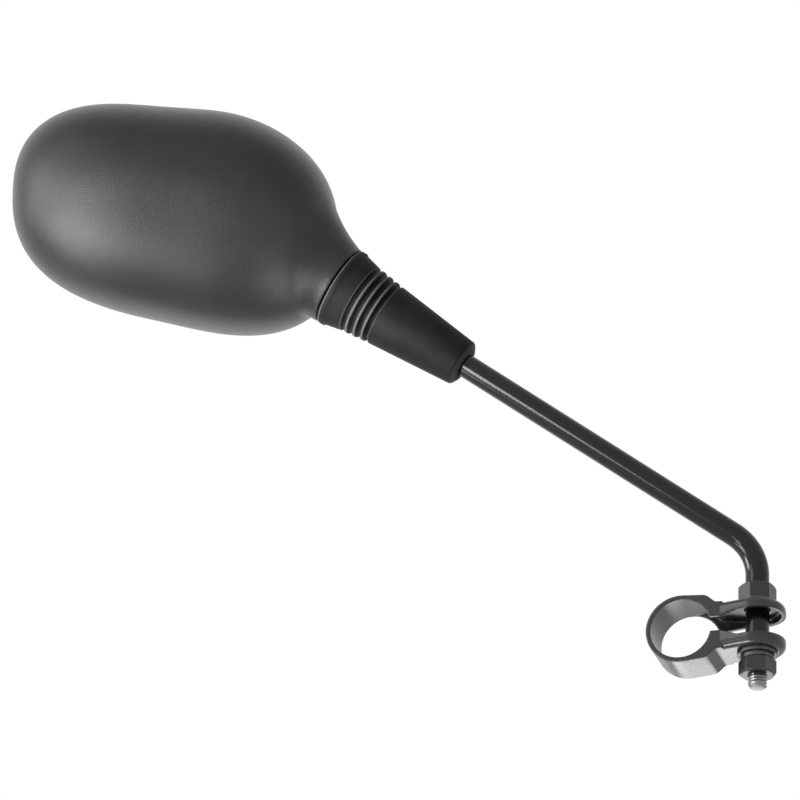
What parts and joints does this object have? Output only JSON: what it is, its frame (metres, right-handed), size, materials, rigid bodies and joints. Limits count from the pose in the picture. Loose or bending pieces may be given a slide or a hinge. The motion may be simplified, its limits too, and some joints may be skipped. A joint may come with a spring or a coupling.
{
  "type": "handlebar mirror",
  "caption": "Clamp-on motorcycle mirror: folded steel collar, bent rod, grooved rubber boot over a ball joint, and an oval moulded head with a flat glass.",
  "frame": {"origin": "centre of the collar's handlebar bore, midway along its width", "axes": "+Y along the handlebar bore, +Z along the threaded stud towards the bent rod, +X from the bore to the stud"},
  "size_m": [0.3141, 0.125, 0.2621],
  "materials": {
    "collar_paint": "satin black paint on pressed steel",
    "rod_paint": "gloss black paint on steel rod, bare bright thread end",
    "fastener_black": "black plated steel",
    "washer_steel": "dark plated steel",
    "bright_steel": "bright zinc plated steel",
    "nylon": "natural nylon",
    "boot_rubber": "matte black rubber",
    "housing_plastic": "satin black plastic with a fine grain",
    "inner_plastic": "plain black plastic",
    "mirror_silver": "silvered flat glass",
    "foam": "adhesive foam",
    "edging_rubber": "soft black rubber"
  },
  "bodies": {
    "clamp": {"collar_strap": "collar_paint", "upper_washer": "washer_steel"},
    "stem": {"stem_rod": "rod_paint", "hex_collar": "fastener_black", "joint_ball": "bright_steel", "ball_ring": "washer_steel"},
    "washers": {"lower_washer": "washer_steel", "spring_washer": "washer_steel"},
    "nut": {"clamp_nut": "fastener_black"},
    "boot": {"rubber_boot": "boot_rubber"},
    "seat": {"socket_liner": "nylon"},
    "head": {"housing": "housing_plastic", "pivot_base": "inner_plastic", "pressure_pad": "nylon", "joint_spring": "bright_steel", "spring_plate": "bright_steel", "plate_screws": "bright_steel", "glass_carrier": "inner_plastic", "foam_pad": "foam", "mirror_glass": "mirror_silver", "glass_edging": "edging_rubber"}
  },
  "joints": [
    {"name": "stem_swivel", "type": "hinge", "parent": "clamp", "child": "stem", "pos_m": [0.0308, 0, 0], "axis": [0, 0, 1], "continuous": true},
    {"name": "washer_drop", "type": "slide", "parent": "stem", "child": "washers", "axis": [0, 0, -1], "range_m": [0, 0.004]},
    {"name": "nut_turn", "type": "hinge", "parent": "washers", "child": "nut", "pos_m": [0.0308, 0, -0.02], "axis": [0, 0, -1], "range_deg": [0, 1152]},
    {"name": "head_twist", "type": "hinge", "parent": "stem", "child": "boot", "pos_m": [-0.12801, -0.04255, 0.1493], "axis": [-0.796, -0.2133, 0.5664], "continuous": true},
    {"name": "head_tilt_a", "type": "hinge", "parent": "boot", "child": "seat", "pos_m": [-0.12801, -0.04255, 0.1493], "axis": [0.2588, -0.9659, 0], "range_deg": [-12, 12], "deforming": ["rubber_boot"]},
    {"name": "head_tilt_b", "type": "hinge", "parent": "seat", "child": "head", "pos_m": [-0.12801, -0.04255, 0.1493], "axis": [0.5471, 0.1466, 0.8241], "range_deg": [-12, 12], "deforming": ["rubber_boot"]}
  ],
  "couplings": [
    {"joint": "nut_turn", "follows": "washer_drop", "rad_per_m": 5026.5}
  ]
}
